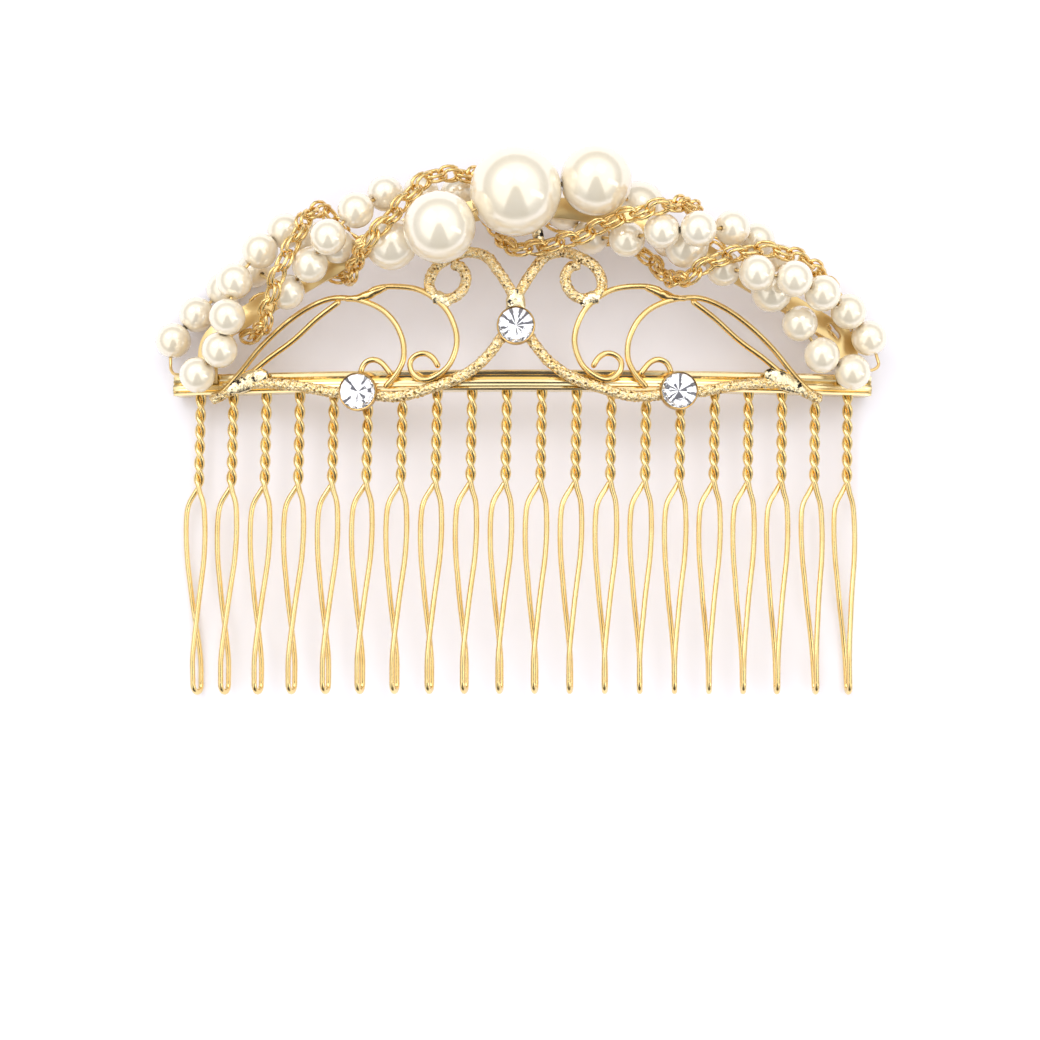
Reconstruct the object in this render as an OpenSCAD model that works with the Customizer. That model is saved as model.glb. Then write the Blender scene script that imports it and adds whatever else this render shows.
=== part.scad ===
// Hair comb: a bowed bar with twisted wire teeth, a filigree with three stones, and an arch that
// carries a braid of two pearl strings and two chains. The comb lies on its back.
// A place on it is [u, v, w]: u along the bow from the middle, v up from the tips of the teeth,
// and w out from the middle of the bar's thickness, away from the hair. All sizes are in mm.

/* [Comb] */
// Radius of the head that the comb is bowed to
bow_r = 138; // [120:1:200]
// Length of the bar along the bow
bar_len = 78.6; // [78:0.1:79]
// Height of the bar's lower edge above the tips
bar_v = 33.4; // [33:0.1:34]
// Height of the bar
bar_h = 2.3; // [2:0.1:2.6]
// Thickness of the bar's folded sheet
bar_wall = 0.4; // [0.3:0.05:0.5]

/* [Teeth] */
// Number of teeth
tooth_n = 20; // [2:1:20]
// Distance from one tooth to the next
tooth_pitch = 3.85; // [3.6:0.05:4]
// Radius of the teeth's wire
tooth_wire_r = 0.285; // [0.2:0.005:0.3]
// Radius of the helix that each strand of a shank follows
helix_r = 0.31; // [0.3:0.01:0.34]
// Length of one full turn of the twist
twist_lead = 3.56; // [3:0.01:5]
// Height of the place where the twist opens into two legs
junction_v = 23.4; // [20:0.1:26]
// Rings of the sweep on each turn of the twist
turn_rings = 7; // [6:1:10]

/* [Arch] */
// Width of the flat band
band_w = 2.3; // [2:0.1:2.6]
// Thickness of the flat band
band_t = 0.6; // [0.4:0.1:0.8]
// Lift of the band's underside over the bar's middle
band_lift = 1.15; // [1.15:0.05:1.3]
// Half the distance between the band's corners
arch_half = 35.7; // [35:0.1:36]
// Lean of the feet, outward from the corners
arch_lean = 0.12; // [0.05:0.01:0.3]
// Height of the feet
arch_foot_v = 34.6; // [34.4:0.1:35]
// Height of the corners
arch_corner_v = 39.6; // [39:0.1:40]
// Height of the point where the shoulders would meet
arch_peak_v = 59.5; // [59:0.1:60]
// Radius of the two corners
arch_corner_r = 3; // [2:0.5:4]
// Radius of the crown
arch_crown_r = 40; // [30:1:50]

/* [Filigree] */
// Thickness of the filigree
lace_t = 0.7; // [0.5:0.05:0.9]
// Lift of the filigree's underside over the bar's middle
lace_lift = 1.2; // [1.18:0.01:1.3]
// Width of the hammered strips
strip_w = 1.0; // [0.8:0.05:1.2]
// Width of the plain wires
wire_w = 0.62; // [0.5:0.02:0.7]
// Outer diameter of the three cups
cup_d = 4.25; // [4.2:0.05:4.5]
// Height of the three cups
cup_h = 1.3; // [1.2:0.05:1.5]

/* [Stones] */
// Diameter of the cut stones
stone_d = 3.8; // [3:0.1:3.9]
// Share of the diameter that the table takes
table_share = 0.56; // [0.5:0.01:0.62]

/* [Pearls] */
// Diameter of the holes through the pearls
hole_d = 0.9; // [0.8:0.05:1]
// Diameter of the wire that strings them
string_d = 0.36; // [0.3:0.02:0.4]

/* [Chains] */
// Length of a link
link_l = 2.65; // [2.6:0.05:2.8]
// Width of a link
link_w = 1.6; // [1.6:0.05:1.8]
// Diameter of a link's wire
link_d = 0.26; // [0.25:0.01:0.32]
// Distance from one link to the next
link_pitch = 1.85; // [1.8:0.05:2]

/* [Rest] */
// Tilt that brings the tips and the rear pearls down to one plane
rest_tilt = 1.7; // [0:0.05:4]

/* [Hidden] */

function tooth_name(i) = str("tooth_", i < 10 ? "0" : "", i);

gap = 0.05;
gold = "goldenrod";

// Leg rows of a tooth: height, spread of the legs along the bow, depth between them, lean of their middle
LEGS = [
    // v,   spread, depth, lean
    [22.4,  0.85,   0.45, -0.4],
    [21.4,  1.75,   0.35, -0.55],
    [20.2,  2.2,    0.3,  -0.65],
    [17.8,  2.35,   0.3,  -0.7],
    [15.0,  2.1,    0.4,  -0.75],
    [12.7,  1.6,    0.6,  -0.8],
    [10.4,  1.1,    0.9,  -0.85],
    [8.2,   0.6,    1.25, -0.85],
    [6.0,   0.1,    1.6,  -0.85],
    [3.8,  -0.25,   1.9,  -0.85],
    [1.6,  -0.3,    1.75, -0.85],
];
tip_v = 0.3;
shank_top = 34.6;
shank_w = 0.06;
shank_lean = -0.2;
row_shift = 0.25;
// The first tooth and the last two stand straighter than the rest
STRAIGHTER = [1, 19, 20];
straighter_by = 0.65;

// Pearls of the string that starts low on the left, in front of the band: place, lift and diameter,
// which is 0 where the wire only bends under the band's edge
OUTER = [
    // u,     v,    w,    d
    [-35.4, 35.3,  3.8,  3.82],
    [-32.4, 37.8,  5.2,  3.82],
    [-31.1, 41.2,  6.7,  3.82],
    [-30.7, 45.3,  5.6,  3.82],
    [-28.3, 48.8,  4.2,  3.82],
    [-26.1, 51.3,  2.0,  3.82],
    [-24.3, 51.0, -1.5,  3.82],
    [-19.9, 49.2,  3.8,  3.82],
    [-13.9, 49.1,  4.7,  5.6],
    [-8.5,  50.3,  8.4,  7.7],
    [-0.7,  54.5,  6.9,  9.8],
    [7.7,   55.9,  5.9,  7.7],
    [13.2,  54.3, -1.9,  5.8],
    [16.6,  50.6, -1.2,  3.82],
    [17.0,  48.2,  1.4,  0],
    [17.5,  49.0,  4.3,  4.7],
    [21.6,  46.7,  3.9,  3.82],
    [24.2,  45.6,  8.2,  3.82],
    [28.0,  45.0,  8.8,  3.82],
    [31.6,  43.8,  6.9,  3.82],
    [35.2,  42.2,  4.8,  3.82],
    [38.0,  39.5,  3.6,  3.82],
];
LARGE = [9, 10, 11];

// Pearls of the string that starts at the left end of the bar and passes behind the band
INNER = [
    // u,     v,    w,    d
    [-39.1, 39.5,  1.6,  3.82],
    [-36.8, 42.5,  0.4,  3.82],
    [-34.1, 45.4, -1.0,  3.82],
    [-30.8, 47.7, -2.0,  3.82],
    [-25.4, 44.2,  3.9,  3.82],
    [-22.5, 46.9,  5.4,  3.82],
    [-20.1, 49.5,  7.8,  3.82],
    [-17.5, 52.7,  6.0,  3.82],
    [-14.9, 55.1,  2.6,  3.82],
    [-11.3, 55.7, -0.2,  3.82],
    [-7.3,  55.5, -1.1,  3.82],
    [-3.3,  55.0, -1.7,  3.82],
    [0.7,   54.2, -1.2,  3.82],
    [4.7,   53.6, -1.5,  3.82],
    [7.6,   50.7, -0.7,  3.82],
    [11.2,  49.8,  3.5,  3.82],
    [14.4,  50.1,  7.5,  3.82],
    [18.0,  50.2,  8.6,  3.82],
    [22.3,  51.0,  5.2,  3.82],
    [25.8,  50.2,  2.0,  3.82],
    [29.9,  48.6, -2.2,  3.82],
    [26.8,  44.2,  4.2,  4.4],
    [30.0,  40.8,  3.9,  3.82],
    [32.3,  37.3,  4.4,  3.82],
    [35.9,  35.6,  4.0,  3.82],
];

// Free loops of the wire at the left end of the bar, from the inner string to the outer, and at the right
LOOP_LEFT = [[-39.3, 36.9, 1.8], [-38.9, 35.9, 2.3], [-38.0, 35.5, 2.9]];
LOOP_RIGHT = [[38.9, 37.2, 3.7], [38.9, 36.4, 3.9], [38.2, 35.9, 4.0]];
// The whole run of the wire, closed: out along one string and back along the other
RUN = concat(OUTER, LOOP_RIGHT, reversed(INNER), LOOP_LEFT);

// Routes of the two chains, as places on the bow
ROUTE_OUTER = [
    [-31.8, 39.2,  0.0], [-30.5, 39.8,  0.4], [-29.1, 40.0,  2.0], [-27.9, 40.5,  4.0],
    [-26.9, 42.2,  5.9], [-26.1, 44.0,  6.9], [-25.0, 47.0,  7.2], [-23.9, 49.5,  6.4],
    [-23.3, 51.7,  5.0], [-22.9, 53.0,  3.3], [-22.2, 53.6,  1.6], [-21.3, 53.0,  0.1],
    [-20.4, 51.7, -0.9], [-19.2, 50.6, -1.2], [-17.4, 50.2, -1.2], [-15.2, 51.0, -1.4],
    [-12.6, 52.2, -2.2], [-9.8,  53.4, -3.6], [-7.4,  54.3, -4.4], [-5.2,  54.3, -4.8],
    [-3.6,  53.0, -4.6], [-2.7,  51.4, -3.0], [-2.1,  50.2, -1.0], [-1.3,  49.3,  0.8],
    [0.0,   48.9,  2.2], [1.9,   48.9,  3.0], [4.2,   49.4,  4.0], [6.4,   49.9,  5.0],
    [8.1,   50.8,  5.8], [10.2,  51.6,  7.0], [12.2,  52.0,  8.6], [13.9,  52.4,  9.4],
    [15.5,  52.9,  8.2], [17.0,  53.3,  6.3], [18.2,  53.3,  4.2], [19.1,  52.7,  1.9],
    [20.3,  51.2, -0.2], [22.4,  49.3, -1.0], [25.1,  47.2, -0.9], [27.8,  45.4, -0.8],
    [31.0,  43.2, -0.8], [33.9,  41.1, -0.8], [35.5,  39.3, -0.6], [35.9,  38.4, -0.5],
];
ROUTE_INNER = [
    [-35.0, 37.3,  0.0], [-34.4, 39.2,  0.0], [-33.0, 41.0,  0.0], [-31.3, 42.7, -0.4],
    [-29.3, 44.0, -0.8], [-27.1, 44.7, -0.8], [-24.4, 46.0, -0.8], [-22.1, 46.9, -0.8],
    [-20.2, 46.3, -0.2], [-18.8, 46.1,  1.8], [-17.7, 47.2,  4.4], [-16.6, 48.1,  7.2],
    [-15.4, 49.4,  8.5], [-14.1, 50.8,  8.2], [-13.1, 52.4,  7.2], [-12.0, 53.9,  6.4],
    [-10.8, 55.6,  5.4], [-9.2,  56.8,  4.2], [-7.5,  57.0,  3.2], [-5.7,  57.2,  1.4],
    [-4.1,  57.9, -1.4], [-2.1,  57.6, -3.8], [1.3,   54.3, -4.6], [4.6,   52.6, -4.8],
    [7.8,   51.6, -4.7], [11.0,  50.9, -4.4], [13.4,  49.9, -3.9], [15.0,  48.1, -2.6],
    [15.9,  46.5, -0.6], [16.4,  45.6,  1.7], [16.9,  45.3,  4.0], [17.7,  45.5,  6.0],
    [19.1,  46.5,  6.9], [20.8,  47.4,  6.8], [22.8,  48.0,  6.6], [24.6,  48.4,  6.4],
    [26.5,  48.4,  6.6], [28.3,  48.1,  6.2], [30.2,  47.6,  5.0], [32.4,  46.8,  3.0],
    [34.7,  45.1,  1.0], [36.5,  42.9,  0.2], [38.2,  40.8, -1.0], [37.8,  38.5, -0.8],
];

// Middle of the filigree and its three stones, and how far out from the middle its strokes run
lace_u = -0.74;
STONE_CENTRE = [-0.7, 40.4];
STONE_LEFT = [-17.9, 33.2];
STONE_RIGHT = [17.0, 33.3];
// Hammered strips of one half, each a row of places [out from the middle, v]
STRIPS = [
    [[0, 43.4], [1.1, 45.3], [2.1, 46.8], [3.2, 48.1], [4.8, 48.6], [6.2, 48.4], [8.2, 47.4], [9.2, 46.1],
     [9.4, 44.7], [8.6, 43.7], [7.0, 43.5], [5.8, 44.4], [5.4, 45.8], [5.9, 46.9], [6.7, 47.2]],
    [[0, 41.5], [1.5, 39.2], [2.9, 37.3], [4.2, 36.0], [6.4, 34.6], [9.2, 33.6], [12.6, 32.7], [15.8, 32.9],
     [17.6, 33.3], [20.2, 33.3], [23.8, 34.0], [27.4, 34.4], [30.2, 34.2], [33.6, 32.8]],
];
// Plain wires of one half: the long scroll, its inner hook, the second scroll and the stay
WIRES = [
    [[33.6, 32.8], [32.2, 33.9], [30.4, 35.8], [28.2, 38.4], [25.6, 40.8], [23.0, 42.6], [20.6, 43.6],
     [18.6, 43.7], [16.6, 43.3], [14.7, 42.4], [13.3, 41.0], [12.5, 39.4], [12.2, 38.0], [12.3, 36.6],
     [13.0, 35.2], [14.1, 33.9]],
    [[17.0, 34.3], [16.9, 35.6], [16.4, 36.5], [15.5, 36.8], [14.6, 36.4], [13.7, 35.3]],
    [[16.4, 44.0], [15.3, 44.7], [13.4, 44.9], [10.9, 44.6], [9.1, 43.7], [7.6, 42.3], [6.7, 40.5],
     [6.4, 38.7], [6.8, 37.0], [7.6, 35.7], [9.0, 34.7], [10.1, 34.5], [11.1, 35.1], [11.5, 35.9],
     [11.4, 36.7], [10.7, 37.3], [9.8, 37.4], [9.0, 36.9], [8.5, 36.1]],
    [[29.2, 35.6], [27.2, 37.2], [24.5, 39.1], [21.8, 41.5], [19.5, 43.2]],
];
// Solder plates of one half: one end, the other end and the width
PLATES = [
    [[28.6, 35.2], [31.2, 34.2], 1.7],
    [[14.8, 43.6], [16.8, 43.8], 1.0],
];
// Post over the middle stone, where the two halves meet
LACE_POST = [[-0.1, 41.0], [0.1, 43.8], 1.6];
// Link between the filigree's right shoulder and the arch
LACE_TO_ARCH = [[3.1, 48.6], [2.6, 49.8], [2.3, 51.2]];

// Places on the bow

function turn(u) = u / bow_r * 180 / PI;
function on_bow(p) =
    [(bow_r + p.z) * sin(turn(p.x)), p.y, (bow_r + p.z) * cos(turn(p.x)) - bow_r];
// Seen from the front, in the plane of the bar
function in_plan(p, w) = [(bow_r + w) * sin(turn(p.x)), p.y];

// Turns its children to the bow's slope at u, with their z along w
module at_bow(u) {
    translate([0, 0, -bow_r]) rotate([0, turn(u), 0]) translate([0, 0, bow_r]) children();
}

// Sweeps a profile drawn as [bow_r + w, v] along the bow, to half_len on each side
module along_bow(half_len) {
    translate([0, 0, -bow_r])
        rotate([-90, 0, 0])
            rotate([0, 0, -90 - turn(half_len)])
                rotate_extrude(angle = 2 * turn(half_len), $fn = 240) children();
}

// A plan drawn in the bar's plane, thickened far enough to reach through any sheet
module thick_plan() {
    below = 10;
    above = 10;
    translate([0, 0, -below]) linear_extrude(below + above) children();
}

// Smooth sheet that follows the bow under a part, from its low edge to its high edge
sheet_half = 42;
sheet_low = 28;
sheet_high = 60;
module smooth_sheet(w, t) {
    along_bow(sheet_half) translate([bow_r + w, sheet_low]) square([t, sheet_high - sheet_low]);
}

// The same sheet in narrow flats, whose edges stay away from the sides of the cups
module flat_sheet(w, t) {
    flat = 2.2;
    first = -41.1;
    function row(w) = [for (u = [first:flat:sheet_half]) let (p = on_bow([u, 0, w])) [p.x, p.z]];
    translate([0, sheet_high, 0])
        rotate([90, 0, 0])
            linear_extrude(sheet_high - sheet_low) polygon(concat(row(w), reversed(row(w + t))));
}

// Curves and sweeps

function reversed(p) = [for (i = [len(p) - 1:-1:0]) p[i]];

// Catmull-Rom curve through a list of points, n steps from each to the next
function between(a, b, c, d, t) =
    (2 * b + (c - a) * t + (2 * a - 5 * b + 4 * c - d) * t * t + (3 * b - a - 3 * c + d) * t * t * t) / 2;
function curve(p, n) = concat(
    [for (i = [0:len(p) - 2], k = [0:n - 1])
        between(p[max(i - 1, 0)], p[i], p[i + 1], p[min(i + 2, len(p) - 1)], k / n)],
    [p[len(p) - 1]]);

function unit(v) = v / norm(v);
function tangent(p, i) = unit(p[min(i + 1, len(p) - 1)] - p[max(i - 1, 0)]);
function across(v, t) = unit(v - (v * t) * t);
function normals(p, first) =
    [for (i = 0, n = across(first, tangent(p, 0)); i < len(p);
          i = i + 1, n = i < len(p) ? across(n, tangent(p, i)) : n) n];

// Tube with flat sides along a list of points
module tube(p, r, sides, first = [0, 0, 1]) {
    last = len(p) - 1;
    n = normals(p, first);
    rings = [for (i = [0:last])
        let (b = cross(tangent(p, i), n[i]))
        for (k = [0:sides - 1]) p[i] + r * (cos(360 * k / sides) * n[i] + sin(360 * k / sides) * b)];
    walls = [for (i = [0:last - 1], k = [0:sides - 1])
        let (a = i * sides + k, b = i * sides + (k + 1) % sides)
        for (f = [[a, a + sides, b + sides], [a, b + sides, b]]) f];
    ends = [[for (k = [0:sides - 1]) k], [for (k = [sides - 1:-1:0]) last * sides + k]];
    polyhedron(rings, concat(walls, ends));
}

// Comb

function twist(v) =
    let (a = 90 + 360 * (v - junction_v) / twist_lead)
    helix_r * [cos(a), 0, sin(a)];
function shank(side) =
    let (n = round((shank_top - junction_v) / twist_lead * turn_rings))
    [for (i = [n:-1:0])
        let (v = junction_v + (shank_top - junction_v) * i / n)
        [shank_lean * (1 - i / n), v, shank_w] + side * twist(v)];
function leg(side) =
    [for (row = LEGS) [row[3] + side * row[1] / 2, row[0], shank_w + side * row[2] / 2]];
function upright(p, by) = [for (q = p) q + [by * max(0, 1 - q.y / junction_v), 0, 0]];

// One wire: down one strand and its leg, round the tip, and up the other
module tooth(i) {
    foot = LEGS[len(LEGS) - 1];
    bend_r = foot[2] / 2;
    tip = [for (a = [0:45:180])
        [foot[3] + foot[1] / 2 * cos(a), tip_v + bend_r * (1 - sin(a)), shank_w + bend_r * cos(a)]];
    path = concat(shank(1), leg(1), tip, reversed(leg(-1)), reversed(shank(-1)));
    by = len([for (k = STRAIGHTER) if (k == i) k]) * straighter_by;
    color(gold)
        at_bow((i - (tooth_n + 1) / 2) * tooth_pitch + row_shift)
            tube(upright(path, by), tooth_wire_r, 5, [1, 0, 0]);
}

// Channel, open below, that holds the tops of the teeth
module comb_bar() {
    front = bow_r + 1.1;
    back = bow_r - 0.98;
    top = bar_v + bar_h;
    middle = bow_r + shank_w;
    slot_half = (front - back) / 2 - bar_wall;
    slot_top = shank_top + 0.2;
    groove_v = bar_v + 1.25;
    groove = 0.1;
    low_edge = [0.2, 0.3];
    high_edge = [0.45, 0.5];
    back_edge = [0.25, 0.2];
    color(gold)
        along_bow(bar_len / 2)
            polygon([
                [back, bar_v],
                [middle - slot_half, bar_v],
                [middle - slot_half, slot_top],
                [middle + slot_half, slot_top],
                [middle + slot_half, bar_v],
                [front - low_edge.x, bar_v],
                [front, bar_v + low_edge.y],
                [front, groove_v],
                [front - groove, groove_v + groove / 2],
                [front, groove_v + groove],
                [front, top - high_edge.y],
                [front - high_edge.x, top],
                [back + back_edge.x, top],
                [back, top - back_edge.y],
            ]);
}

// Arch

// Arc of radius r that rounds the corner b between a and c, in n steps
function rounded(a, b, c, r, n) =
    let (p = unit(a - b), q = unit(c - b), half = acos(p * q) / 2,
         middle = b + unit(p + q) * r / sin(half),
         from = b + p * r / tan(half) - middle, to = b + q * r / tan(half) - middle,
         start = atan2(from.y, from.x), sweep = (atan2(to.y, to.x) - start + 540) % 360 - 180)
    [for (k = [0:n]) middle + r * [cos(start + sweep * k / n), sin(start + sweep * k / n)]];

arch_u = 0.65;
function arch_key(side, v) =
    in_plan([arch_u + side * (arch_half + (v == arch_foot_v ? arch_lean : 0)), v], band_lift);
function arch_line() =
    let (left = [arch_key(-1, arch_foot_v), arch_key(-1, arch_corner_v)],
         right = [arch_key(1, arch_corner_v), arch_key(1, arch_foot_v)],
         peak = arch_key(0, arch_peak_v))
    concat(
        [left[0]],
        rounded(left[0], left[1], peak, arch_corner_r, 6),
        rounded(left[1], peak, right[0], arch_crown_r, 16),
        rounded(peak, right[0], right[1], arch_corner_r, 6),
        [right[1]]);
function beside(line, d) =
    [for (i = [0:len(line) - 1]) let (t = tangent(line, i)) line[i] + d * [-t.y, t.x]];

module arch_band() {
    line = arch_line();
    slot_u = 34.6;
    slot_v = 40.4;
    slot_turn = 40;
    slot_w = 0.9;
    slot_run = 1.3;
    color(gold)
        difference() {
            intersection() {
                thick_plan() polygon(concat(beside(line, band_w / 2), reversed(beside(line, -band_w / 2))));
                smooth_sheet(band_lift, band_t);
            }
            at_bow(slot_u)
                translate([0, slot_v, band_lift - band_t])
                    rotate([0, 0, slot_turn])
                        linear_extrude(3 * band_t)
                            polygon(outline([[0, -slot_run / 2], [0, slot_run / 2]], slot_w / 2));
        }
}

// Filigree

// Outline of a stroke of even width, with round ends, along a line
function round_end(p, t, r) =
    [for (a = [45, 90, 135]) p + r * (cos(a) * [-t.y, t.x] + sin(a) * t)];
function outline(line, r) =
    let (last = len(line) - 1)
    concat(
        beside(line, r),
        round_end(line[last], tangent(line, last), r),
        reversed(beside(line, -r)),
        round_end(line[0], -tangent(line, 0), r));

// Strokes of the filigree: side is 1 for the right half and -1 for the left
module stroke(places, width, side, steps = 3) {
    line = curve([for (p = places) in_plan([lace_u + side * p[0], p[1]], lace_lift)], steps);
    polygon(outline(line, width / 2));
}

module lace_plan() {
    weld = 0.001;
    offset(delta = weld) {
        for (side = [-1, 1]) {
            for (s = STRIPS) stroke(s, strip_w, side);
            for (s = WIRES) stroke(s, wire_w, side);
            for (s = PLATES) stroke([s[0], s[1]], s[2], side, 1);
        }
        stroke([LACE_POST[0], LACE_POST[1]], LACE_POST[2], 1, 1);
        stroke(LACE_TO_ARCH, strip_w, 1);
    }
}

// Round cup with a flat floor
cup_floor = 0.3;
module cup() {
    well_d = stone_d + 2 * gap;
    difference() {
        cylinder(d = cup_d, h = cup_h, $fn = 48);
        translate([0, 0, cup_floor]) cylinder(d = well_d, h = cup_h, $fn = 48);
    }
}

module at_stone(place, w) {
    at_bow(place[0]) translate([0, place[1], w]) children();
}

// One casting: strips, wires and three cups in front of the bar
module filigree() {
    bite = 0.1;
    deep = 2 * cup_h;
    color(gold)
        union() {
            difference() {
                intersection() {
                    thick_plan() lace_plan();
                    flat_sheet(lace_lift, lace_t);
                }
                for (s = [STONE_CENTRE, STONE_LEFT, STONE_RIGHT])
                    at_stone(s, lace_lift - cup_h) cylinder(d = cup_d - 2 * bite, h = 2 * deep, $fn = 48);
            }
            for (s = [STONE_CENTRE, STONE_LEFT, STONE_RIGHT])
                at_stone(s, lace_lift) cup();
        }
}

// Round brilliant with an eight-sided table
module stone(place) {
    girdle_t = 0.12;
    crown_h = 0.62;
    pavilion_h = 0.75;
    star_h = 0.55 * crown_h;
    star_d = 0.84 * stone_d;
    culet_d = 0.5;
    seat = lace_lift + cup_floor + gap + pavilion_h;
    thin = 0.01;
    color("white")
        at_stone(place, seat)
            hull() {
                linear_extrude(girdle_t) rotate(360 / 32) circle(d = stone_d, $fn = 16);
                translate([0, 0, girdle_t + star_h])
                    linear_extrude(thin) rotate(360 / 16) circle(d = star_d, $fn = 8);
                translate([0, 0, girdle_t + crown_h])
                    linear_extrude(thin) circle(d = stone_d * table_share, $fn = 8);
                translate([0, 0, -pavilion_h]) linear_extrude(thin) circle(d = culet_d, $fn = 8);
            }
}

// Pearls

// Sets its children at p with z on up and x on side
module framed(p, side, up) {
    deep = cross(up, side);
    multmatrix([
        [side.x, deep.x, up.x, p.x],
        [side.y, deep.y, up.y, p.y],
        [side.z, deep.z, up.z, p.z],
        [0, 0, 0, 1]])
        children();
}

// A pearl of the run, drilled from its middle towards the places before and after it
module pearl(i) {
    p = on_bow(RUN[i]);
    r = RUN[i][3] / 2;
    ahead = unit(on_bow(RUN[(i + 1) % len(RUN)]) - p);
    back = unit(on_bow(RUN[(i + len(RUN) - 1) % len(RUN)]) - p);
    nearly_straight = 0.02;
    any = [0.3, 0.5, 0.8];
    side = norm(ahead + back) < nearly_straight ? unit(cross(ahead, any)) : unit(ahead + back);
    half = acos(side * ahead);
    narrower = 0.1;
    overlap = 0.3;
    framed(p, side, unit(cross(side, ahead)))
        difference() {
            sphere(r = r, $fn = 48);
            rotate([0, 90, half])
                translate([0, 0, -overlap]) cylinder(d = hole_d, h = 2 * r, $fn = 24);
            rotate([0, 90, -half]) cylinder(d = hole_d - narrower, h = 2 * r, $fn = 24);
        }
}

first_inner = len(OUTER) + len(LOOP_RIGHT);
module pearl_string_outer() {
    color("ivory")
        for (i = [0:len(OUTER) - 1])
            if (OUTER[i][3] > 0 && (i < LARGE[0] || i > LARGE[2])) pearl(i);
}
module pearl_string_inner() {
    color("ivory")
        for (i = [0:len(INNER) - 1]) pearl(first_inner + i);
}
module large_pearl(i) {
    color("ivory") pearl(i);
}

// One wire through all pearls, from the right end of the inner string round to the same pearl
module string_wire() {
    n = len(RUN);
    start = on_bow(RUN[first_inner]);
    loop_end = on_bow(RUN[first_inner - 1]);
    ends_apart = 0.9;
    path = concat(
        [for (k = [0:n - 1]) on_bow(RUN[(first_inner + k) % n])],
        [start + ends_apart * unit(loop_end - start)]);
    color(gold) tube(path, string_d / 2, 5);
}

// Chains

// An oval link around the origin, long in x and flat in z
module link() {
    bend = (link_w - link_d) / 2;
    straight = link_l - link_w;
    for (side = [-1, 1]) {
        translate([side * straight / 2, 0, 0])
            rotate([0, 0, -90 * side])
                rotate_extrude(angle = 180, $fn = 32) translate([bend, 0]) circle(d = link_d, $fn = 16);
        translate([-straight / 2, side * bend, 0])
            rotate([0, 90, 0]) cylinder(d = link_d, h = straight, $fn = 16);
    }
}

// Running length of a path at each of its points
function running(p) =
    [for (i = 0, s = 0; i < len(p); i = i + 1, s = i < len(p) ? s + norm(p[i] - p[i - 1]) : s) s];
function at_length(p, s, d) =
    let (i = max([for (k = [0:len(p) - 2]) if (s[k] <= d) k]))
    p[i] + (p[i + 1] - p[i]) * (d - s[i]) / (s[i + 1] - s[i]);

module chain(route) {
    line = [for (p = curve(route, 6)) on_bow(p)];
    s = running(line);
    count = floor((s[len(s) - 1] - link_l) / link_pitch) + 1;
    pitch = (s[len(s) - 1] - link_l) / (count - 1);
    reach = 0.9;
    roll = 45;
    color(gold)
        for (i = [0:count - 1]) {
            middle = link_l / 2 + i * pitch;
            d = unit(at_length(line, s, middle + reach) - at_length(line, s, middle - reach));
            translate(at_length(line, s, middle))
                rotate([0, 0, atan2(d.y, d.x)])
                    rotate([0, -asin(d.z), 0])
                        rotate([roll + 90 * (i % 2), 0, 0]) link();
        }
}

// Sets the comb on its back: tips and rear pearls on z = 0, middle of the box over the origin
module seated() {
    translate([0.26, -29.79, 5.89]) rotate([rest_tilt, 0, 0]) children();
}

for (i = [1:tooth_n]) seated() tooth(i);
seated() comb_bar();
seated() arch_band();
seated() filigree();
seated() stone(STONE_CENTRE);  // stone_centre
seated() stone(STONE_LEFT);  // stone_left
seated() stone(STONE_RIGHT);  // stone_right
seated() large_pearl(LARGE[0]);  // large_pearl_left
seated() large_pearl(LARGE[1]);  // large_pearl_centre
seated() large_pearl(LARGE[2]);  // large_pearl_right
seated() pearl_string_outer();
seated() pearl_string_inner();
seated() string_wire();
seated() chain(ROUTE_OUTER);  // chain_outer
seated() chain(ROUTE_INNER);  // chain_inner
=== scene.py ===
"""The looks of a lying hair comb: gilt wires, a filigree with stones, pearls and chains, on a plain stage."""

import math
import random

import bmesh
import bpy
from mathutils import Matrix, Vector, noise


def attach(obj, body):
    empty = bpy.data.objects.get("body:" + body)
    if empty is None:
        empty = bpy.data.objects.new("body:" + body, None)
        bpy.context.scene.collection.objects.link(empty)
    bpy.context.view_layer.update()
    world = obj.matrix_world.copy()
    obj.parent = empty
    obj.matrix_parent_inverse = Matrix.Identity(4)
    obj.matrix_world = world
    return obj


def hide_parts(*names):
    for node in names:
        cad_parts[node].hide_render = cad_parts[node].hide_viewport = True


bl_info = {
    "name": "Chain hair comb",
    "version": (1, 0, 0),
    "blender": (4, 5, 0),
    "location": "3D View > Sidebar > Comb",
    "description": "Builds the visible pieces of a hair comb around its packed CAD frame",
    "category": "Object",
}

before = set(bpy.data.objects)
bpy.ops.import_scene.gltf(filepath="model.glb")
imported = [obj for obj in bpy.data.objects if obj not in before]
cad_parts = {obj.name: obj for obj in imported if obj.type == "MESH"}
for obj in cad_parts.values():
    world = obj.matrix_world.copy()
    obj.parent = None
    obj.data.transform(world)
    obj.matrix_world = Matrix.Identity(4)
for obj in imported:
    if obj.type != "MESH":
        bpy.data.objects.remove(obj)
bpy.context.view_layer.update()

# Places are in the comb's own frame, in mm: u along the bow, v up from the tips, w out from the bar
MM = 0.001
BOW_R = 138.0
REST_TILT = math.radians(1.7)
REST_SHIFT = Vector((0.26, -29.79, 5.89))
SEAT = Matrix.Scale(MM, 4) @ Matrix.Translation(REST_SHIFT) @ Matrix.Rotation(REST_TILT, 4, "X")

# Teeth
TOOTH_COUNT = 20
TOOTH_PITCH = 3.85
ROW_SHIFT = 0.25
HELIX_R = 0.31
JUNCTION_V = 23.4
SHANK_TOP = 34.6
SHANK_W = 0.06
SHANK_LEAN = -0.2
TIP_V = 0.3
STRAIGHTER = (1, 19, 20)
STRAIGHTER_BY = 0.65
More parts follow.
